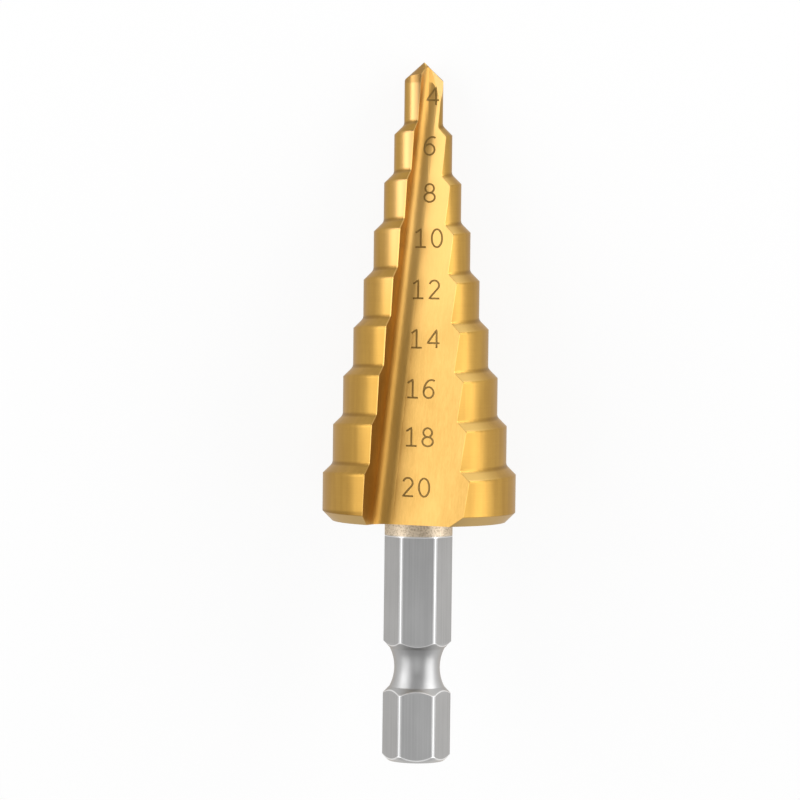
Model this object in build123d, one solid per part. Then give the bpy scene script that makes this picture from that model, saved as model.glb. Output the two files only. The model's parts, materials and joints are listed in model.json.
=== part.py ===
"""Step drill, 4 to 20 mm in nine steps, on a 1/4 inch hexagon power shank.

The drill is turned and ground from one steel bar, so it is one solid.  It is drawn upright, with the
point at the origin and the shank hanging down along -Z, the front flute facing -Y, and is then laid on
its side as it comes to rest on a table.  Lengths are in millimetres, angles in degrees.
"""

import os
from math import atan2, cos, degrees, hypot, radians, sin, sqrt, tan

from build123d import *

# Cutting head
pilot_diameter = 4.0        # the first step, which the point drills
last_diameter = 20.0        # the last step
diameter_rise = 2.0         # from each step to the next
step_pitch = 5.0            # from each step's corner to the next
first_corner = 7.5          # from the tip to the corner of the second step
step_angle = 45.0           # between the axis and the cone that leads into a step
step_relief = 0.36          # sideways shift of a land's cones, which makes them fall behind the edge
foot_radius = 0.6           # fillet at the foot of each of these cones
head_length = 47.4          # from the tip to the underside of the head
rim_chamfer = 1.0           # round the underside

# Point
point_angle = 46.0          # half angle of the cone that each lip's flank lies on
lip_tilt = 10.5             # how far that cone leans towards its lip
web_offset = 0.5            # the two flanks meet this far beside the axis
gash_start = 0.35           # the facet behind each flank starts this far beside the axis
gash_height = 0.30          # and this far below the tip
gash_side_slope = 0.99      # it falls this much per millimetre away from the axis
gash_front_slope = 2.3      # and this much per millimetre towards the flute

# Flutes: at the second step's corner and at the last one, seen from the tip
edge_near_tip = (-1.03, 2.82)    # cutting edge, across and towards the flute's open side
edge_at_rim = (-5.60, 8.28)
heel_near_tip = (2.34, 1.87)     # far edge of the floor
heel_at_rim = (5.08, 8.61)
wall_lean_at_tip = 18.0          # the rake wall leans this far from square
wall_lean_at_rim = 28.0
floor_slope = 25.0               # the floor rises this steeply to the heel
root_radius_at_tip = 1.20        # fillet between wall and floor
root_radius_at_rim = 1.60

# Shank
bar_diameter = 7.04         # round bar, which is left between the flats
collar_length = 1.5         # round, between the head and the flats
across_flats = 6.3
flat_count = 6
shank_length = 24.9         # from the head's underside to the end
end_chamfer = 0.62
chamfer_crown = 0.03        # the shank's turned chamfers bulge this much at their middle

# Ball groove of the shank
groove_from_end = 9.7       # from its middle to the shank's end
groove_diameter = 4.73      # where it is deepest
groove_radius = 4.4         # of its hollow
groove_half_width = 2.0     # of the hollow alone
groove_edge_angle = 45.0    # of the cones on both sides of it

over = 1.5                  # how far cutters run past what they cut
ring_tolerance = 0.01       # a ring this near to a cylinder lies on it
settling_turns = 3          # each turn finds the corners that are then the lowest

overall_length = head_length + shank_length
step_count = round((last_diameter - pilot_diameter) / diameter_rise)
last_corner = first_corner + (step_count - 1) * step_pitch
below = (Align.CENTER, Align.CENTER, Align.MAX)


def mix(start, end, depth):
    """A value that changes evenly from the second step's corner to the last one's."""
    share = (depth - first_corner) / (last_corner - first_corner)
    return start + (end - start) * share


def upright_cone(half_angle, length):
    """A solid cone that stands on its base below the origin, with its apex there."""
    return Cone(length * tan(radians(half_angle)), 0, length, align=below)


def lip_flank():
    """The cone that bounds one lip's flank: its apex is the tip, and it leans to the front."""
    return Rot(-lip_tilt, 0, 0) * upright_cone(point_angle, head_length)


def foot_rings(blank):
    """The rings where the steps' cones leave the narrower cylinders above them."""
    rings = blank.edges().filter_by(GeomType.LINE, reverse=True)
    cone_length = diameter_rise / 2 / tan(radians(step_angle))
    found = []
    for index in range(step_count):
        radius = (pilot_diameter + diameter_rise * index) / 2
        foot = cone_length - first_corner - index * step_pitch
        found += [
            ring for ring in rings
            if abs(ring.center().Z - foot) < cone_length / 2
            and all(abs(hypot(p.X, p.Y) - radius) < ring_tolerance for p in ring.positions([0, 0.5]))
        ]
    return found


def land_blank():
    """Pilot and steps before fluting, with the relief of the land on the left."""
    pilot = Cylinder(pilot_diameter / 2, head_length, align=below) & lip_flank()
    blank = pilot
    for index in range(step_count):
        radius = (pilot_diameter + diameter_rise * (index + 1)) / 2
        apex = first_corner + index * step_pitch - radius / tan(radians(step_angle))
        lead_in = Pos(0, -step_relief, -apex) * upright_cone(step_angle, head_length)
        length = head_length - max(apex - over, 0)
        step = Pos(0, 0, length - head_length) * Cylinder(radius, length, align=below)
        blank += step & lead_in
    keep = Pos(0, 0, -head_length) * Box(
        2 * last_diameter, 2 * last_diameter, head_length + over,
        align=(Align.CENTER, Align.CENTER, Align.MIN),
    )
    blank &= keep
    return fillet(foot_rings(blank), foot_radius)


def left_side():
    """The space of the left land: its border steps sideways at the axis, beside both lips."""
    size = last_diameter + over
    height = head_length + 2 * over
    top = Align.MAX
    front = Pos(web_offset, 0, over) * Box(size, size, height, align=(Align.MAX, Align.MAX, top))
    back = Pos(-web_offset, 0, over) * Box(size, size, height, align=(Align.MAX, Align.MIN, top))
    return front + back


def flute_section(depth):
    """Outline of the front flute at one depth below the tip: wall, root fillet, floor."""
    edge = [mix(a, b, depth) for a, b in zip(edge_near_tip, edge_at_rim)]
    heel = [mix(a, b, depth) for a, b in zip(heel_near_tip, heel_at_rim)]
    lean = radians(wall_lean_at_tip + (wall_lean_at_rim - wall_lean_at_tip) * depth / head_length)
    slope = radians(floor_slope)
    radius = root_radius_at_tip + (root_radius_at_rim - root_radius_at_tip) * depth / head_length

    outward = Vector(-sin(lean), cos(lean))       # along the wall
    across = Vector(cos(slope), sin(slope))       # along the floor
    start, end = Vector(*edge), Vector(*heel)
    turn = across.cross(outward).Z
    root = start + outward * ((end - start).cross(across).Z / -turn)

    half = radians(outward.get_angle(across)) / 2
    bisector = (outward + across).normalized()
    centre = root + bisector * (radius / sin(half))
    wall_foot = root + outward * (radius / tan(half))
    floor_foot = root + across * (radius / tan(half))
    deepest = centre - bisector * radius
    reach = 1.5 * last_diameter
    wall_top = root + outward * reach
    floor_top = root + across * reach

    def place(point):
        return (point.X, -point.Y, -depth)

    outline = [
        Line(place(wall_top), place(wall_foot)),
        ThreePointArc(place(wall_foot), place(deepest), place(floor_foot)),
        Line(place(floor_foot), place(floor_top)),
        Line(place(floor_top), place(wall_top)),
    ]
    return Face(Wire(outline))


def flute_cutter():
    """One flute, from above the tip to below the head, ruled between its two end sections."""
    return loft([flute_section(head_length + over), flute_section(-over)], ruled=True)


def gash_cutter():
    """The space above the facet that ends the right land at the point, in front of the axis."""
    size = last_diameter
    lowest = gash_height + size * (gash_side_slope + gash_front_slope)
    block = Pos(gash_start, 0, over) * Box(
        size, size, lowest + over, align=(Align.MIN, Align.MAX, Align.MAX)
    )
    normal = Vector(gash_side_slope, -gash_front_slope, 1)
    facet = Plane(origin=(gash_start, 0, -gash_height), z_dir=normal)
    reach = 4 * lowest
    return block & facet * Box(reach, reach, reach, align=(Align.CENTER, Align.CENTER, Align.MIN))


def rim_cutter():
    """The space outside the chamfer round the underside of the head."""
    outer, rim = last_diameter, last_diameter / 2
    bottom = -head_length
    outline = Polyline(
        (rim - rim_chamfer - over, bottom - over), (rim + over, bottom + rim_chamfer + over),
        (outer, bottom + rim_chamfer + over), (outer, bottom - over), close=True,
    )
    return revolve(Rot(90, 0, 0) * Face(Wire(outline)), Axis.Z)


def land():
    """The left land, cut by both flutes, by the facet behind its lip and by the rim."""
    left = (land_blank() - rim_cutter()) & left_side()
    left -= flute_cutter()
    left -= Rot(0, 0, 180) * flute_cutter()
    return left - Rot(0, 0, 180) * gash_cutter()


def head():
    """The cutting head: two like lands, half a turn apart."""
    left = land()
    return left + Rot(0, 0, 180) * left


def crowned(start, end):
    """A chamfer's line in the XZ plane, bulging a little as a tumbled edge does."""
    across = Vector(end[0] - start[0], 0, end[1] - start[1])
    middle = Vector((start[0] + end[0]) / 2, 0, (start[1] + end[1]) / 2)
    bulge = Vector(across.Z, 0, -across.X).normalized() * chamfer_crown
    return ThreePointArc((start[0], 0, start[1]), middle + bulge, (end[0], 0, end[1]))


def straight(start, end):
    """A line in the XZ plane."""
    return Line((start[0], 0, start[1]), (end[0], 0, end[1]))


def turned(lines):
    """The solid that a closed outline in the XZ plane makes about the axis."""
    return revolve(Face(Wire(lines)), Axis.Z)


def shank():
    """Round bar with six flats, a ball groove and a chamfered end."""
    bar_radius = bar_diameter / 2
    top, bottom = over - head_length, -overall_length
    bar = turned([
        straight((0, top), (bar_radius, top)),
        straight((bar_radius, top), (bar_radius, bottom + end_chamfer)),
        crowned((bar_radius - end_chamfer, bottom), (bar_radius, bottom + end_chamfer)),
        straight((bar_radius - end_chamfer, bottom), (0, bottom)),
        straight((0, bottom), (0, top)),
    ])
    flats_length = shank_length - collar_length
    for index in range(flat_count):
        flat = Pos(0, -across_flats / 2, bottom - over) * Box(
            bar_diameter, bar_radius, flats_length + over, align=(Align.CENTER, Align.MAX, Align.MIN)
        )
        bar -= Rot(0, 0, 360 / flat_count * index) * flat
    return bar - ball_groove()


def ball_groove():
    """The ring that is turned out of the shank, where a chuck's balls hold it."""
    middle = groove_from_end - overall_length
    floor = groove_diameter / 2
    edge = floor + groove_radius - sqrt(groove_radius**2 - groove_half_width**2)
    outside = bar_diameter / 2 + over
    half_mouth = groove_half_width + (outside - edge) * tan(radians(groove_edge_angle))
    top, bottom = middle + groove_half_width, middle - groove_half_width
    return turned([
        ThreePointArc((edge, 0, bottom), (floor, 0, middle), (edge, 0, top)),
        crowned((outside, middle + half_mouth), (edge, top)),
        straight((outside, middle + half_mouth), (outside, middle - half_mouth)),
        crowned((edge, bottom), (outside, middle - half_mouth)),
    ])


def settling_turn(solid):
    """The turn that lays the solid on its lowest corner left and right of the axis, and on its nose."""
    balance = solid.center(CenterOf.MASS)
    corners = [Vector(vertex.X, vertex.Y, vertex.Z) for vertex in solid.vertices()]
    tail = [p for p in corners if p.Y < balance.Y]
    left = min((p for p in tail if p.X < balance.X), key=lambda p: p.Z)
    right = min((p for p in tail if p.X > balance.X), key=lambda p: p.Z)
    hinge = (right - left).normalized()

    def rise(point):
        """How steeply the point lies above the two corners, seen along the line through them."""
        away = point - left
        away -= hinge * away.dot(hinge)
        return atan2(away.Z, Vector(away.X, away.Y, 0).length)

    nose = min((p for p in corners if p.Y > balance.Y), key=rise)
    up = hinge.cross(nose - left).normalized()
    tilt = degrees(atan2(up.Y, up.Z))
    roll = degrees(atan2(-up.X, Vector(0, up.Y, up.Z).length))
    return Rot(0, roll, 0) * Rot(tilt, 0, 0)


def resting(solid):
    """The solid as it comes to rest on its side, with the bottom's middle at the origin."""
    turn = Rot(-90, 0, 0)
    for _ in range(settling_turns):
        turn = settling_turn(turn * solid) * turn
    lying = turn * solid
    box = lying.bounding_box()
    middle = box.center()
    return Pos(-middle.X, -middle.Y, -box.min.Z) * lying


def step_drill():
    """The whole drill, one solid."""
    return head() + shank()


drill = resting(step_drill())
end_face = drill.faces().filter_by(GeomType.PLANE).sort_by(Axis.Y)[0]
tilt = degrees(atan2(end_face.normal_at().Z, -end_face.normal_at().Y))
print(f"the axis rises {tilt:.2f} degrees towards the shank")
print(f"solids {len(drill.solids())}, volume {drill.volume:.1f} mm3")

os.makedirs("parts", exist_ok=True)
export_step(drill, "parts/step_drill.step")
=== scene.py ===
# %% [markdown]
# # A step drill on a white table
#
# A step drill is ground from one bar of tool steel, so there is one piece to show: the packed solid,
# whose steps, flutes, flats and groove are real geometry already. Blender gives it what the solid
# doesn't have: the golden nitride coating with its grinding marks, the bare steel of the shank, and the
# size numbers that a laser writes in the flute. The solid itself is never moved or changed.

# %% Load the frame
import json
import math

import bmesh
import bpy
from mathutils import Matrix, Vector
from mathutils.bvhtree import BVHTree


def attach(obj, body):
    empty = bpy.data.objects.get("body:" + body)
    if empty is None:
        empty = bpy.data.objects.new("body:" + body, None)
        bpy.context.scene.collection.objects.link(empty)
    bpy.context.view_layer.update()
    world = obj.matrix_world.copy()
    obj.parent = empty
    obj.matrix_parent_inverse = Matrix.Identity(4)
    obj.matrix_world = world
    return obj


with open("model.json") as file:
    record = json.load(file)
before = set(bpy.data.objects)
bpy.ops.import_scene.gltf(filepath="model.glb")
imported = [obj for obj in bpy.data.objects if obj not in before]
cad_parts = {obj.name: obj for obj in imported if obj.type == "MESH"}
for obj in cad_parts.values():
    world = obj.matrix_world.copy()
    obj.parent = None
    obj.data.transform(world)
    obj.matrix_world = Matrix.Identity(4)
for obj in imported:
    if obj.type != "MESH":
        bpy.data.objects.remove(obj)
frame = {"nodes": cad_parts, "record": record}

bpy.context.view_layer.update()
MM = 0.001


# %% [markdown]
# ## The drill's own directions
#
# The drill lies tilted on the table, so its own directions are read from the frame instead of being
# typed in: the mount on the shank's end gives the axis, and the flat that looks up gives the front.
# Everything later is placed by three lengths in millimetres: across, out of the front, and along the
# axis from the tip.

# %% Directions and a placing function
drill = frame["nodes"]["step_drill"]
mounts = {mount["name"]: mount for mount in frame["record"]["mounts"]}
SHANK_END = Vector(mounts["shank_end"]["pos_m"])
TIPWARD = -Vector(mounts["shank_end"]["axis"]).normalized()
FRONT = Vector(mounts["drive_flat_top"]["axis"]).normalized()
RIGHT = TIPWARD.cross(FRONT)
OVERALL = max((vertex.co - SHANK_END).dot(TIPWARD) for vertex in drill.data.vertices)
TIP = SHANK_END + TIPWARD * OVERALL
print("overall length", round(OVERALL / MM, 2), "mm")


def place(across, out, along):
    """A point given in the drill's own millimetres: to the right, out of the front, down from the tip."""
    return TIP + (RIGHT * across + FRONT * out - TIPWARD * along) * MM


# %% [markdown]
# ## The camera
#
# The photograph was taken squarely from the front with a long lens. The perspective of the steps puts
# the camera 360 mm away and level with the fourth step, and the picture's scale there gives the lens.
# A Track To constraint could aim it, but a matrix of three directions also holds the roll: the drill
# leans by two thirds of a degree in the picture. Cameras and lamps both look against their own Z axis,
# so one helper turns them all.

# %% Camera
PICTURE = 800               # pixels, both ways
SCALE = 9.66                # pixels a millimetre at the drill's axis
TIP_PIXEL = (424.2, 62.8)   # where the tip is in the picture
LEAN = math.radians(0.68)
DISTANCE = 360.0
LEVEL = 21.5                # along the drill, where the camera looks at it squarely
SENSOR = 36.0
NEAREST = 0.01              # metres from the camera, where its view begins


def add_object(name, data):
    """A new object in the scene."""
    made = bpy.data.objects.new(name, data)
    bpy.context.scene.collection.objects.link(made)
    return made


def looking(position, sideways, backward):
    """The matrix of a camera or a lamp, from its position, its right side and its back."""
    turn = Matrix((sideways, backward.cross(sideways), backward)).transposed().to_4x4()
    return Matrix.Translation(position) @ turn


middle_along = (PICTURE / 2 - TIP_PIXEL[1]) / SCALE
middle_across = (PICTURE / 2 - TIP_PIXEL[0]) / SCALE + middle_along * math.tan(LEAN)
eye = place(0, DISTANCE, LEVEL)
backward = (eye - place(middle_across, 0, middle_along)).normalized()
leaning_up = TIPWARD * math.cos(LEAN) - RIGHT * math.sin(LEAN)
camera = add_object("camera", bpy.data.cameras.new("camera"))
camera.matrix_world = looking(eye, leaning_up.cross(backward).normalized(), backward)
camera.data.sensor_width = SENSOR
camera.data.lens = SENSOR * DISTANCE * SCALE / PICTURE
camera.data.clip_start = NEAREST
bpy.context.scene.camera = camera
bpy.context.scene.view_settings.view_transform = "Standard"
print("lens", round(camera.data.lens, 1), "mm, looking at", round(middle_across, 2), round(middle_along, 2))

# %% [markdown]
# ## Lamps
#
# Bare metal shows its surroundings, so the lamps are placed by what the photograph's metal shows: bright
# bands on faces turned about 30 degrees to either side, and a darker one on faces that look at the
# camera. Two tall softboxes, about 60 degrees to the left and right of the camera, give just that.
# A smaller box beyond each of them brightens what is turned further. Small boxes towards the tip light
# the ground corners and the cones, and two weak ones in front lift the shank's front flat and the upper
# flute. A lamp is given by its radiance, which is how bright it looks in a mirror, and its power in
# watts follows from its size.

# %% Softboxes
LAMP_LEVEL = 35       # the lamps face this point of the axis, in mm from the tip
LAMP_DISTANCE = 300   # mm


def add_softbox(name, aside, tipward, radiance, width, length):
    """A rectangular lamp that faces the drill, at two angles from the front: to the right, to the tip."""
    lamp = bpy.data.lights.new(name, "AREA")
    lamp.shape = "RECTANGLE"
    lamp.size = width * MM
    lamp.size_y = length * MM
    lamp.energy = radiance * math.pi * lamp.size * lamp.size_y
    aside, tipward = math.radians(aside), math.radians(tipward)
    level = RIGHT * math.sin(aside) + FRONT * math.cos(aside)
    away = level * math.cos(tipward) + TIPWARD * math.sin(tipward)
    position = place(0, 0, LAMP_LEVEL) + away * LAMP_DISTANCE * MM
    add_object(name, lamp).matrix_world = looking(position, TIPWARD.cross(away).normalized(), away)
    print(name, "radiance", radiance, "energy", round(lamp.energy, 3), "W")


# Degrees to the right and to the tip, radiance, and width and length in mm.
add_softbox("softbox_left", -60, 0, 1.7, 275, 460)
add_softbox("softbox_right", 66, 0, 2.0, 250, 460)
add_softbox("strip_left", -73, 10, 1.5, 130, 130)
add_softbox("strip_right", 81, 0, 1.1, 80, 340)
add_softbox("corner_light_left", -66, 35, 1.6, 180, 70)
add_softbox("corner_light_right", 66, 36, 3.2, 220, 80)
add_softbox("tip_light_right", 72, 61, 2.4, 220, 120)
add_softbox("front_light_tip", 0, 28, 0.45, 220, 120)
add_softbox("softbox_shank", 0, -23, 0.75, 200, 230)

# %% [markdown]
# ## Sky
#
# A studio's walls send back a little light from everywhere. A plain world does the same, and it keeps
# what no lamp reaches from going black. It is weak, because metal shows it on every face.

# %% Sky
SKY = 0.32
WHITE = (1, 1, 1, 1)
world = bpy.data.worlds.new("studio")
bpy.context.scene.world = world
world.use_nodes = True
sky = world.node_tree.nodes["Background"]
sky.inputs["Color"].default_value = WHITE
sky.inputs["Strength"].default_value = SKY
print("sky strength", SKY)

# %% [markdown]
# ## Arithmetic with shader nodes
#
# The metal needs many small sums, such as how far a point lies from a step's corner. Linked by hand in
# the shader editor they would fill screens of Math nodes. This class wraps one socket, so that a sum
# written in Python adds those nodes by itself: `1.0 - mask * 0.5` makes its three nodes.

# %% A class for shader maths
class Value:
    """A shader socket that can be used in ordinary arithmetic. Without a socket it only adds nodes."""

    def __init__(self, tree, socket=None):
        self.tree = tree
        self.socket = socket

    def node(self, kind, settings=None, inputs=None, output=0):
        """Adds any node: its settings first, then values or links for its inputs."""
        made = self.tree.nodes.new(kind)
        for name, setting in (settings or {}).items():
            setattr(made, name, setting)
        for name, given in (inputs or {}).items():
            if isinstance(given, Value):
                self.tree.links.new(made.inputs[name], given.socket)
            else:
                made.inputs[name].default_value = given
        return Value(self.tree, made.outputs[output])

    def maths(self, operation, *values):
        """A Math node on this value and others."""
        return self.node("ShaderNodeMath", {"operation": operation}, dict(enumerate((self, *values))))

    def vector(self, operation, other, output="Vector"):
        """A Vector Math node on this vector and another."""
        return self.node("ShaderNodeVectorMath", {"operation": operation}, {0: self, 1: other}, output)

    def __add__(self, other):
        return self.maths("ADD", other)

    def __sub__(self, other):
        return self.maths("SUBTRACT", other)

    def __mul__(self, other):
        return self.maths("MULTIPLY", other)

    def __truediv__(self, other):
        return self.maths("DIVIDE", other)

    def __abs__(self):
        return self.maths("ABSOLUTE")

    def __rsub__(self, other):
        return self * -1.0 + other

    __radd__ = __add__
    __rmul__ = __mul__

    def between(self, low, high):
        """0 below low, 1 above high, smooth in between."""
        limits = {"Value": self, "From Min": low, "From Max": high}
        return self.node("ShaderNodeMapRange", {"interpolation_type": "SMOOTHSTEP"}, limits)

    def fading(self, low, high):
        """1 below low, 0 above high, smooth in between."""
        return 1.0 - self.between(low, high)

    def to_surface(self):
        """Links this shader to the material's output."""
        last = self.tree.nodes.new("ShaderNodeOutputMaterial")
        self.tree.links.new(last.inputs["Surface"], self.socket)


print("Value does", [name.strip("_") for name in vars(Value) if callable(vars(Value)[name])])

# %% Helpers for materials, numbers and colours
FACTOR = 0                  # sockets that share a name are told apart by their place
FIRST_COLOUR, SECOND_COLOUR, MIXED_COLOUR = 6, 7, 2
FIRST_SHADER, SECOND_SHADER = 1, 2


def new_material(name):
    """An empty node material, and a Value to add its nodes with."""
    material = bpy.data.materials.new(name)
    material.use_nodes = True
    material.node_tree.nodes.clear()
    return material, Value(material.node_tree)


def mix(share, first, second):
    """A number that is the first where the share is 0 and the second where it is 1."""
    return first + (second - first) * share


def blend(mask, first, second):
    """A colour that is the first where the mask is 0 and the second where it is 1."""
    sockets = {FACTOR: mask, FIRST_COLOUR: first, SECOND_COLOUR: second}
    return mask.node("ShaderNodeMix", {"data_type": "RGBA"}, sockets, MIXED_COLOUR)


print("helpers", [helper.__name__ for helper in (new_material, mix, blend)])

# %% [markdown]
# ## The table
#
# The photograph's background is plain white, and the drill throws a faint shadow. More light would burn
# out the metal before the paper turned white, so the whiteness is the paper's own: a Light Path node
# tells which rays come from the camera or from a reflection, and these see mostly a plain white. The
# small rest is lit paper, and that is where the shadow shows. All other rays see lit paper only.

# %% Table
TABLE_REACH = 3.0     # metres from its middle to each side
PAPER = (0.92, 0.92, 0.92, 1)
WHITENESS = 0.88      # share of plain white in what is seen

table_mesh = bmesh.new()
bmesh.ops.create_grid(table_mesh, x_segments=1, y_segments=1, size=TABLE_REACH)
table = add_object("table", bpy.data.meshes.new("table"))
table_mesh.to_mesh(table.data)
table_mesh.free()

paper, start = new_material("white_paper")
lit = start.node("ShaderNodeBsdfDiffuse", None, {"Color": PAPER})
glow = start.node("ShaderNodeEmission", None, {"Color": WHITE, "Strength": 1.0})
seen = start.node("ShaderNodeLightPath", output="Is Camera Ray")
for ray in ("Is Glossy Ray", "Is Transmission Ray"):
    seen = seen.maths("MAXIMUM", start.node("ShaderNodeLightPath", output=ray))
sockets = {FACTOR: seen * WHITENESS, FIRST_SHADER: lit, SECOND_SHADER: glow}
start.node("ShaderNodeMixShader", None, sockets).to_surface()
table.data.materials.append(paper)
print("table", 2 * TABLE_REACH, "m wide, whiteness", WHITENESS)

# %% [markdown]
# ## The metal, and where a point of it lies
#
# One material covers the one piece, because the real one is a single bar: it is held by the shank while
# the head is coated, so the head is golden and the shank bare. Two materials would have to be assigned
# face by face. Instead the shader works out where each point lies, in the drill's own directions, and
# every mark and tint follows from that. Texture Coordinate's Object output is in metres, so three dot
# products turn it into the drill's millimetres.

# %% Across, out and along, in the shader
metal, start = new_material("nitride_and_steel")
from_tip = start.node("ShaderNodeTexCoord", output="Object").vector("SUBTRACT", tuple(TIP))
across, out, along = [
    from_tip.vector("DOT_PRODUCT", tuple(direction / MM), "Value") for direction in (RIGHT, FRONT, -TIPWARD)
]
radius = (across * across + out * out).maths("SQRT")


def count_nodes(what):
    """Prints how many nodes the metal has so far."""
    print(what, "bring the metal to", len(metal.node_tree.nodes), "nodes")


count_nodes("places")

# %% [markdown]
# ## Steps
#
# Each step is a cylinder, and a 45 degree cone leads into it. The radius tells which step a point
# belongs to, and two lengths tell where it lies on it: how far below the cone, and how far inside the
# cylinder. On the surface one of them is nearly zero, and the other gives the way to the corner
# between them.

# %% Which step, and how far from its corner
STEP = 1.0                  # each step is this much wider in radius, and its cone as long
FIRST_RADIUS = 3.0          # of the second step, the first with a cone
FIRST_APEX = 4.5            # along the axis, of that step's cone
APEX_PITCH = 4.0            # from each cone's apex to the next, and also each cylinder's length
RELIEF = 0.36               # the cones are this far off the axis, so a land falls away behind its edge
MARGIN = 0.02               # a point this far outside a cylinder still counts as on it

step = ((radius - (FIRST_RADIUS + MARGIN)) / STEP).maths("CEIL")
relieved_out = out + across.maths("SIGN") * RELIEF
cone_radius = (across * across + relieved_out * relieved_out).maths("SQRT")
below_cone = along - (step * APEX_PITCH + FIRST_APEX) - cone_radius
below_cylinder = step * STEP + FIRST_RADIUS - radius
corner_distance = below_cone + below_cylinder * math.sqrt(2)
count_nodes("steps")

# %% [markdown]
# ## Flutes
#
# A flute is a groove with a steep wall, which ends at the cutting edge, a sloping floor, which ends at
# the heel, and a round root between them. The wall twists a little from the tip to the rim, so both are
# worked out from lengths that change along the axis. A point is in the flute when it lies on or above
# wall and floor, and it is in the root when it is near both. The back flute is the front one turned by
# half a turn, which the sign of `out` takes care of.

# %% In the flute and in its root
HEAD_LENGTH = 47.4
FIRST_CORNER, LAST_CORNER = 7.5, 42.5                   # of the second step and of the last
EDGE_NEAR_TIP, EDGE_AT_RIM = (-1.03, 2.82), (-5.60, 8.28)
HEEL_NEAR_TIP, HEEL_AT_RIM = (2.34, 1.87), (5.08, 8.61)
WALL_LEAN_AT_TIP, WALL_LEAN_AT_RIM = math.radians(18.0), math.radians(28.0)
FLOOR_SLOPE = math.radians(25.0)
ROOT_RADIUS_AT_TIP, ROOT_RADIUS_AT_RIM = 1.2, 1.6
ON_WALL, ON_FLOOR = (-0.05, -0.01), (-0.09, -0.03)      # mm above them
OFF_WALL, OFF_FLOOR = (0.4, 1.3), (0.7, 1.3)            # root radii above them, where the root fades
OFF_BOTH = (0.36, 0.45)                                 # and above the nearer one


def ruled(start, end, first=FIRST_CORNER, last=LAST_CORNER):
    """A length that changes evenly along the axis, from the first place to the last."""
    rate = (end - start) / (last - first)
    return along * rate + (start - first * rate)


side = out.maths("SIGN")
x, y = across * side, out * side
wall_x, wall_y = [ruled(a, b) for a, b in zip(EDGE_NEAR_TIP, EDGE_AT_RIM)]
heel_x, heel_y = [ruled(a, b) for a, b in zip(HEEL_NEAR_TIP, HEEL_AT_RIM)]
normal_x, normal_y = [
    ruled(part(WALL_LEAN_AT_TIP), part(WALL_LEAN_AT_RIM), 0, HEAD_LENGTH) for part in (math.cos, math.sin)
]
above_wall = (x - wall_x) * normal_x + (y - wall_y) * normal_y
above_floor = (y - heel_y) * math.cos(FLOOR_SLOPE) - (x - heel_x) * math.sin(FLOOR_SLOPE)
in_flute = above_wall.between(*ON_WALL) * above_floor.between(*ON_FLOOR)

root_radius = ruled(ROOT_RADIUS_AT_TIP, ROOT_RADIUS_AT_RIM, 0, HEAD_LENGTH)
above_both = above_wall.maths("MINIMUM", above_floor)
in_root = (
    (above_wall / root_radius).fading(*OFF_WALL)
    * (above_floor / root_radius).fading(*OFF_FLOOR)
    * (above_both / root_radius).fading(*OFF_BOTH)
    * in_flute
)
count_nodes("flutes")

# %% [markdown]
# ## The golden coating
#
# Titanium nitride is a hard, golden film a few thousandths of a millimetre thick. It copies the surface
# below it, so the marks of the grinding wheels show: fine scratches down the flute, and on the lands
# weaker lengthways marks with faint rings. Noise that is stretched along one direction gives such marks.
# An image texture could hold them too, but it would need an unwrapped mesh.

# %% Grinding marks
def noise(rate_across, rate_along, detail=3.0):
    """Soft noise from 0 to 1, by how fast it changes across the drill and along it."""
    stretched = across.node(
        "ShaderNodeCombineXYZ", None,
        {"X": across * rate_across, "Y": out * rate_across, "Z": along * rate_along},
    )
    inputs = {"Vector": stretched, "Scale": 1.0, "Detail": detail}
    return stretched.node("ShaderNodeTexNoise", None, inputs)


scratches = noise(5.0, 0.06)
fine_scratches = noise(16.0, 0.12)
rings = noise(0.15, 9.0)
lengthways = noise(1.6, 0.08, detail=2.0)
clouds = noise(0.35, 0.2, detail=2.0)

LENGTHWAYS_SHARE, FINE_SHARE, CLOUD_SHARE = 0.7, 0.5, 0.4
MIDDLE_TONES = (0.3, 0.7)   # noise seldom leaves these limits, so they become the darkest and lightest
grain = mix(in_flute, mix(LENGTHWAYS_SHARE, rings, lengthways), mix(FINE_SHARE, scratches, fine_scratches))
tone = mix(CLOUD_SHARE, grain, clouds).between(*MIDDLE_TONES)
count_nodes("grinding marks")

# %% [markdown]
# ## Tints of the lands
#
# Most of these tints are painted light and shade in the gold's colour: painted shade at the foot of each
# cone and on the point's back, painted light on the cones towards the heel and on the point's flank, and a
# painted highlight beside the cutting edges near the tip. The lands' gold itself is kept darker than the
# flute's, as painted shade for their sides. The rim chamfer is given a paler tint. Each tint gets a mask
# that is 1 in its place, and they are laid over each other like thin coats of paint. All colours are linear
# red, green and blue, as shader sockets take them.

# %% Lands, cones and point
# the lands' gold is kept darker than the flute's: that difference is painted shade, which darkens the sides
# of the lands
LAND_DARK, LAND_LIGHT = (0.39, 0.22, 0.048, 1), (0.47, 0.275, 0.062, 1)
# a painted highlight: paler gold beside the cutting edges, fading out away from the tip
LAND_PAINTED_HIGHLIGHT = (0.57, 0.35, 0.135, 1)
# painted shade: darker, browner gold in the concave foot of each cone
FOOT_PAINTED_SHADE = (0.25, 0.135, 0.028, 1)
# painted light: brighter gold on the cones, on the heel's side of the lands
CONE_PAINTED_LIGHT = (0.90, 0.60, 0.19, 1)
# painted light on the point's flank, on the heel's side
POINT_FLANK_PAINTED_LIGHT = (0.60, 0.40, 0.16, 1)
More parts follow.
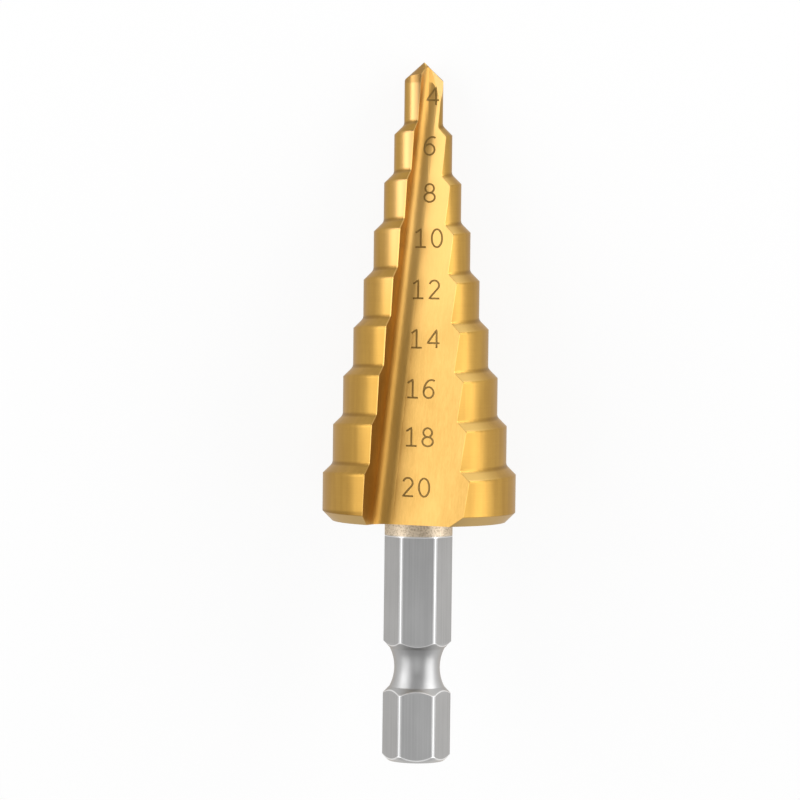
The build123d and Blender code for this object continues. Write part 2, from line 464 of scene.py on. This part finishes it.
# painted shade on the point's back, beside the cutting edge
POINT_BACK_PAINTED_SHADE = (0.34, 0.19, 0.055, 1)
RIM = (0.56, 0.39, 0.17, 1)
COVER = 0.8                 # a tint hides this share of the gold below it
THIN_COVER = 0.7
CONE_FOOT = (0.72, 0.96)    # mm inside the cylinder: the lower end of a cone
CYLINDER_END = (-0.35, -0.04)           # mm from the end of a cylinder, where the next cone starts
CONE_TOP = (0.03, 0.12)     # mm inside the cylinder, where a cone begins
RIM_CHAMFER = (46.4, 46.5)  # mm from the tip, as are the next three
PAINTED_HIGHLIGHT_END = (12.0, 30.0)
FLANK_END = (3.4, 4.0)
BACK_END = (2.2, 2.5)
POINT_SLOPE = (0.05, 0.3)   # mm by which the way from the tip passes the radius, off the point's cone
BY_HEEL, PAST_HEEL = (0.1, 0.4), (0.6, 0.92)    # shares of the radius, towards the heel
BY_EDGE = (-0.9, -0.55)     # the same, towards the cutting edge
EDGE_HALF, BACK_HALF, FLANK_HALF = (-0.1, 0.0), (-0.2, 0.0), (0.0, 0.4)         # mm across

turned = x / radius         # below 0 beside a cutting edge, above 0 beside a heel
at_foot = below_cylinder.between(*CONE_FOOT).maths(
    "MAXIMUM", (below_cone - APEX_PITCH).between(*CYLINDER_END)
)
on_cone = below_cylinder.between(*CONE_TOP) * (1.0 - at_foot)
at_heel = turned.between(*BY_HEEL) * turned.fading(*PAST_HEEL)
beside_edge = turned.between(*BY_EDGE) * x.fading(*EDGE_HALF)
on_flank = along.fading(*FLANK_END) * x.between(*FLANK_HALF)
on_back = (along - radius).fading(*POINT_SLOPE) * x.fading(*BACK_HALF) * along.fading(*BACK_END)

land_gold = blend(tone, LAND_DARK, LAND_LIGHT)
for mask, tint in (
    (beside_edge * along.fading(*PAINTED_HIGHLIGHT_END) * (1.0 - on_cone), LAND_PAINTED_HIGHLIGHT),
    (at_foot * COVER * (1.0 - at_heel), FOOT_PAINTED_SHADE),
    (on_cone * at_heel * COVER, CONE_PAINTED_LIGHT),
    (on_flank * COVER, POINT_FLANK_PAINTED_LIGHT),
    (on_back * THIN_COVER, POINT_BACK_PAINTED_SHADE),
    (along.between(*RIM_CHAMFER) * COVER, RIM),
):
    land_gold = blend(mask, land_gold, tint)
count_nodes("tints of the lands")

# %% [markdown]
# ## Tints of the flutes
#
# The floor of a flute is paler than the lands, whose darker gold is painted shade for their sides, and
# painted light makes it paler still near the tip. The root gets painted shade, browner, and it is a little
# duller. Both change evenly along the drill, so each is one mask times a length. Here too a painted texture
# would do, but a mask made from lengths stays sharp in any close view.

# %% Flutes, and the whole coating
FLUTE_DARK, FLUTE_LIGHT = (0.49, 0.288, 0.076, 1), (0.63, 0.385, 0.115, 1)
# painted light: paler gold on the floor near the tip
FLUTE_PAINTED_LIGHT_AT_TIP = (0.70, 0.44, 0.145, 1)
# painted shade: browner gold in the root between wall and floor, growing towards the rim and the tip
ROOT_PAINTED_SHADE = (0.45, 0.235, 0.046, 1)
PALE_END, PALE_COVER = (6.0, 36.0), 0.9
ROOT_TO_RIM, RIM_COVER = (0.0, 44.0), 0.7       # the root's tint grows towards the rim
ROOT_FROM_TIP, TIP_COVER = (8.0, 18.0), 0.65    # and once more towards the tip
GOLD_ROUGHNESS = 0.33
MIDDLE = 0.5                # of the marks' noise
GRAIN_ROUGHNESS = 0.1       # what the marks add to the roughness, or take away
ROOT_ROUGHNESS = 0.11       # what the root adds to it

flute_gold = blend(tone, FLUTE_DARK, FLUTE_LIGHT)
flute_gold = blend(along.fading(*PALE_END) * PALE_COVER, flute_gold, FLUTE_PAINTED_LIGHT_AT_TIP)
root_painted_shade = along.between(*ROOT_TO_RIM) * RIM_COVER + along.fading(*ROOT_FROM_TIP) * TIP_COVER
flute_gold = blend(in_root * root_painted_shade, flute_gold, ROOT_PAINTED_SHADE)
gold = blend(in_flute, land_gold, flute_gold)
gold_roughness = GOLD_ROUGHNESS + (grain - MIDDLE) * GRAIN_ROUGHNESS + in_root * ROOT_ROUGHNESS
count_nodes("tints of the flutes")

# %% [markdown]
# ## The bare steel
#
# The shank isn't coated. It is a round bar with six milled flats, which are evenly grey with faint
# lengthways marks. Between them a narrow strip of the bar is left, and its colour is painted with a
# highlight in its middle and with shade at its edges. A point's distance along the nearest flat's normal
# tells the two apart, so no edges have to be marked by hand.

# %% Flats and strips
FLAT_DARK, FLAT_LIGHT = (0.37, 0.37, 0.37, 1), (0.42, 0.42, 0.42, 1)
STRIP_PAINTED_HIGHLIGHT, STRIP_PAINTED_SHADE = (0.55, 0.55, 0.55, 1), (0.24, 0.24, 0.24, 1)
BAR_RADIUS = 3.52
FLAT_DISTANCE = 3.15        # from the axis to a flat
STRIP_DISTANCE = BAR_RADIUS * math.cos(math.radians(30))    # to a strip's middle, square to a flat
OFF_FLAT = (FLAT_DISTANCE - 0.03, FLAT_DISTANCE - 0.005)        # nearer the axis is a strip
OFF_MIDDLE = (STRIP_DISTANCE + 0.02, STRIP_DISTANCE + 0.06)
MILLED_TONES = (0.35, 0.65) # of the noise, from the darkest steel to the lightest

nearest_flat = abs(out)
for angle in (math.radians(60), math.radians(120)):
    nearest_flat = nearest_flat.maths("MAXIMUM", abs(across * math.sin(angle) + out * math.cos(angle)))
# the strip's colour: a painted highlight in its middle, painted shade at its edges
strip = blend(nearest_flat.between(*OFF_MIDDLE), STRIP_PAINTED_HIGHLIGHT, STRIP_PAINTED_SHADE)
milled = blend(mix(CLOUD_SHARE, scratches, clouds).between(*MILLED_TONES), FLAT_DARK, FLAT_LIGHT)
steel = blend(nearest_flat.fading(*OFF_FLAT), milled, strip)
print("a strip's middle lies", round(STRIP_DISTANCE, 3), "mm from the axis, square to a flat")

# %% [markdown]
# ## Ball groove and collar
#
# A ball in the drill's holder snaps into the turned groove near the shank's end. The short collar below
# the head is where the coating ends, and it is left a speckled brown. Both are bands across the axis,
# so a length along it is all that their masks need.

# %% Groove and collar
GROOVE = (0.42, 0.42, 0.42, 1)
COLLAR_DARK, COLLAR_LIGHT = (0.44, 0.36, 0.26, 1), (0.66, 0.56, 0.43, 1)
GROOVE_MIDDLE = 62.6        # mm from the tip
GROOVE_HALF = (2.5, 2.7)    # mm from there to where the groove's skin ends
FLATS_START = 48.9          # mm from the tip, the end of the collar
COLLAR_END = (FLATS_START - 0.15, FLATS_START + 0.05)
SPECKLES = (0.32, 0.58)     # of the noise, from the darkest to the lightest
STEEL_ROUGHNESS = 0.36
COLLAR_ROUGHNESS = 0.12     # what the collar adds to it
GROOVE_ROUGHNESS = 0.06

from_groove = abs(along - GROOVE_MIDDLE)
in_groove = from_groove.fading(*GROOVE_HALF)
on_collar = along.fading(*COLLAR_END)
speckled = blend(noise(5.0, 6.0, detail=2.0).between(*SPECKLES), COLLAR_DARK, COLLAR_LIGHT)
steel = blend(in_groove, steel, GROOVE)
steel = blend(on_collar, steel, speckled)
steel_roughness = STEEL_ROUGHNESS + on_collar * COLLAR_ROUGHNESS + in_groove * GROOVE_ROUGHNESS
print("groove from", GROOVE_MIDDLE - GROOVE_HALF[1], "to", GROOVE_MIDDLE + GROOVE_HALF[1], "mm")

# %% [markdown]
# ## Painted highlights on edges
#
# The sharp edges where the flats meet a turned chamfer, and where the flats begin, get a painted highlight:
# a thin bright line in the steel's colour. The chamfers are 45 degree cones, and on such a cone the way
# along the axis and the radius change alike, so their sum or difference tells how far off a point is.

# %% Painted highlights on the edges of the flats
EDGE_PAINTED_HIGHLIGHT = (0.85, 0.85, 0.85, 1)
GROOVE_APEX = 0.85          # mm past the groove's middle, where the cones at its ends have their apexes
END_CHAMFER = 0.62
SHOULDER = FLATS_START + 0.04           # mm from the tip, where the flats begin
PAINTED_GLINT_WIDTH = (0.03, 0.11)   # mm from the edge, where the painted highlight fades

off_groove = abs(from_groove - radius + GROOVE_APEX)
off_end = abs(along + radius - (OVERALL / MM + BAR_RADIUS - END_CHAMFER))
off_chamfers = off_groove.maths("MINIMUM", off_end).maths("MAXIMUM", abs(nearest_flat - FLAT_DISTANCE))
off_shoulder = abs(along - SHOULDER).maths("MAXIMUM", nearest_flat - FLAT_DISTANCE)
painted_glint = off_chamfers.maths("MINIMUM", off_shoulder).fading(*PAINTED_GLINT_WIDTH)
# a painted highlight along the edges
steel = blend(painted_glint * COVER, steel, EDGE_PAINTED_HIGHLIGHT)
count_nodes("flats, groove, collar and worn edges")

# %% [markdown]
# ## One material for the one piece
#
# The solid's corners are sharp, but ground ones never quite are. A bevel would need a changed mesh, so
# the softness is a bump: within a short way of a corner, the height falls with the square of how near
# it is. The same bump holds the grinding marks, a thousandth of a millimetre deep. A metal seen edge on
# turns white in the Principled shader, and nitride doesn't quite, hence the edge tint.

# %% Put the material together
COAT_END = (HEAD_LENGTH - 0.05, HEAD_LENGTH + 0.35)
EDGE_TINT = (0.85, 0.78, 0.70, 1)
SOFT_CORNER = 0.28          # mm from a corner, where its softness begins
SOFTNESS = -0.75            # mm of height for each square mm
FIRST_SOFT = (5.0, 6.0)     # mm from the tip: the point itself stays sharp
LAND_MARKS, FLUTE_MARKS = 0.0003, 0.0015        # mm of depth

bare = along.between(*COAT_END)
colour = blend(bare, gold, steel)
roughness = mix(bare, gold_roughness, steel_roughness)
missing = (SOFT_CORNER - corner_distance).maths("MAXIMUM", 0.0)
softness = missing * missing * SOFTNESS * along.between(*FIRST_SOFT) * (1.0 - in_flute)
height = (softness + grain * mix(in_flute, LAND_MARKS, FLUTE_MARKS)) * (1.0 - bare)
bump = height.node("ShaderNodeBump", None, {"Strength": 1.0, "Distance": MM, "Height": height})
bump.node(
    "ShaderNodeBsdfPrincipled", None,
    {
        "Base Color": colour, "Metallic": 1.0, "Roughness": roughness, "Normal": bump,
        "Specular Tint": EDGE_TINT,
    },
).to_surface()
drill.material_slots[0].material = metal
count_nodes("bump and shader")

# %% [markdown]
# ## The size numbers
#
# A laser writes each step's diameter on the floor of the flute. Its line is as wide everywhere, so a
# number is a pen stroke, and it is made like one: a thin round wire along a few lines and arcs, pressed
# flat on the floor below. A font object would be quicker, but its lines swell and taper as print does.

# %% Strokes of the digits, in units of their height
ARC_PARTS = 18
OVAL_PARTS = 33             # odd, so that the two rings of an 8 share no point where they touch


def arc(x, y, width, height, start, end, parts=ARC_PARTS):
    """Points on an ellipse about (x, y), from one angle to another in degrees, 90 at the top."""
    angles = [math.radians(start + (end - start) * i / parts) for i in range(parts + 1)]
    return [(x + width / 2 * math.cos(a), y + height / 2 * math.sin(a)) for a in angles]


def oval(x, y, width, height):
    """A closed ellipse: its ends meet."""
    return arc(x, y, width, height, 0, 360, OVAL_PARTS)


DIGITS = {                  # the width of each, and its strokes from the lower left corner
    "0": (0.57, [oval(0.285, 0.5, 0.57, 1.0)]),
    "1": (0.58, [[(0.01, 0.80), (0.29, 1.0), (0.29, 0.0)], [(0.0, 0.0), (0.58, 0.0)]]),
    "2": (0.57, [arc(0.28, 0.73, 0.52, 0.54, 165, -32) + [(0.0, 0.0), (0.57, 0.0)]]),
    "4": (0.66, [[(0.50, 0.0), (0.50, 1.0), (0.0, 0.27), (0.66, 0.27)]]),
    "6": (0.55, [arc(0.44, 0.30, 0.88, 1.40, 68, 180), oval(0.275, 0.30, 0.55, 0.60)]),
    "8": (0.58, [oval(0.29, 0.755, 0.48, 0.49), oval(0.29, 0.255, 0.58, 0.51)]),
}
DIGIT_GAP = 0.32
print("digits", " ".join(DIGITS))

# %% Where each number stands, and its strokes in mm
DIGIT_HEIGHT = 1.84         # mm, between the middles of the strokes
LONGEST = 0.15              # mm, between two points of a stroke, so that it follows the metal
NUMBERS = {                 # the middle of each, in mm across and along, as the laser was set
    "4": (0.95, 3.50), "6": (0.65, 8.65), "8": (0.71, 13.50), "10": (0.68, 18.15), "12": (0.48, 23.40),
    "14": (0.45, 28.45), "16": (0.01, 33.55), "18": (-0.03, 38.45), "20": (-0.32, 43.55),
}


def with_points_between(stroke):
    """The same stroke with more points on its long straight parts."""
    found = [stroke[0]]
    for start, end in zip(stroke, stroke[1:]):
        parts = math.ceil(math.dist(start, end) / LONGEST)
        for part in range(1, parts + 1):
            found.append(tuple(a + (b - a) * part / parts for a, b in zip(start, end)))
    return found


def number_strokes(text, across_middle, along_middle):
    """The strokes of one number, in mm across and along the drill."""
    width = sum(DIGITS[digit][0] for digit in text) + DIGIT_GAP * (len(text) - 1)
    pen = -width / 2
    found = []
    for digit in text:
        for stroke in DIGITS[digit][1]:
            found.append(with_points_between([
                (across_middle + (pen + x) * DIGIT_HEIGHT, along_middle + (0.5 - y) * DIGIT_HEIGHT)
                for x, y in stroke
            ]))
        pen += DIGITS[digit][0] + DIGIT_GAP
    return found


strokes = [stroke for text, middle in NUMBERS.items() for stroke in number_strokes(text, *middle)]
print(len(strokes), "strokes with", sum(len(stroke) for stroke in strokes), "points")

# %% A round wire along the strokes
LINE_WIDTH = 0.18           # mm
MEETS = 0.001               # mm: ends this near are one point, and the stroke is a ring

pen_lines = bpy.data.curves.new("size_numbers", "CURVE")
pen_lines.dimensions = "3D"
pen_lines.bevel_depth = LINE_WIDTH / 2
pen_lines.bevel_resolution = 1
pen_lines.use_fill_caps = True
for stroke in strokes:
    spline = pen_lines.splines.new("POLY")
    spline.use_cyclic_u = math.dist(stroke[0], stroke[-1]) < MEETS
    points = stroke[:-1] if spline.use_cyclic_u else stroke
    spline.points.add(len(points) - 1)
    for target, (u, v) in zip(spline.points, points):
        target.co = (u, v, 0, 1)

wire = add_object("wire", pen_lines)
bpy.context.view_layer.update()
graph = bpy.context.evaluated_depsgraph_get()
numbers = add_object("size_numbers", bpy.data.meshes.new_from_object(wire.evaluated_get(graph)))
bpy.data.objects.remove(wire)
print("wire with", len(numbers.data.vertices), "vertices")

# %% [markdown]
# ## Pressing the wire onto the metal
#
# The wire lies flat in its own drawing. Each of its points is dropped from in front of the drill onto
# the flute's floor, where a ray meets it, and keeps only a little of its height. A Shrinkwrap modifier
# could do it too, but its settings say less plainly from where the numbers are seen. In the world the
# drawing is mirrored, which turns the wire inside out, so its normals are recalculated, after the caps
# at the ends of the strokes have been welded on.

# %% Lay the numbers on the floor of the flute
RAY_START = 40              # mm out of the front, clear of the drill
LIFT = 0.016                # mm above the metal
FLATTENED = 0.06            # the wire keeps this share of its height
WELD = 0.0005               # mm

floor_below = BVHTree.FromObject(drill, graph)
for vertex in numbers.data.vertices:
    u, v, w = vertex.co
    hit = floor_below.ray_cast(place(u, RAY_START, v), -FRONT)[0]
    vertex.co = hit + FRONT * (LIFT + w * FLATTENED) * MM
lines = bmesh.new()
lines.from_mesh(numbers.data)
bmesh.ops.remove_doubles(lines, verts=lines.verts, dist=WELD * MM)
bmesh.ops.recalc_face_normals(lines, faces=lines.faces)
open_edges = sum(not edge.is_manifold for edge in lines.edges)
volume = lines.calc_volume(signed=True) / MM**3
print("numbers", len(lines.verts), "vertices,", open_edges, "open edges,", round(volume, 4), "mm3")
lines.to_mesh(numbers.data)
lines.free()

# %% Burn them in
BURNT = (0.25, 0.145, 0.026, 1)         # the laser turns the gold brown and dull
BURNT_METALLIC, BURNT_ROUGHNESS = 0.4, 0.5

burnt, start = new_material("laser_burnt")
start.node(
    "ShaderNodeBsdfPrincipled", None,
    {"Base Color": BURNT, "Metallic": BURNT_METALLIC, "Roughness": BURNT_ROUGHNESS},
).to_surface()
numbers.data.materials.append(burnt)
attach(numbers, "root")
print("numbers ride on the drill, in", burnt.name)
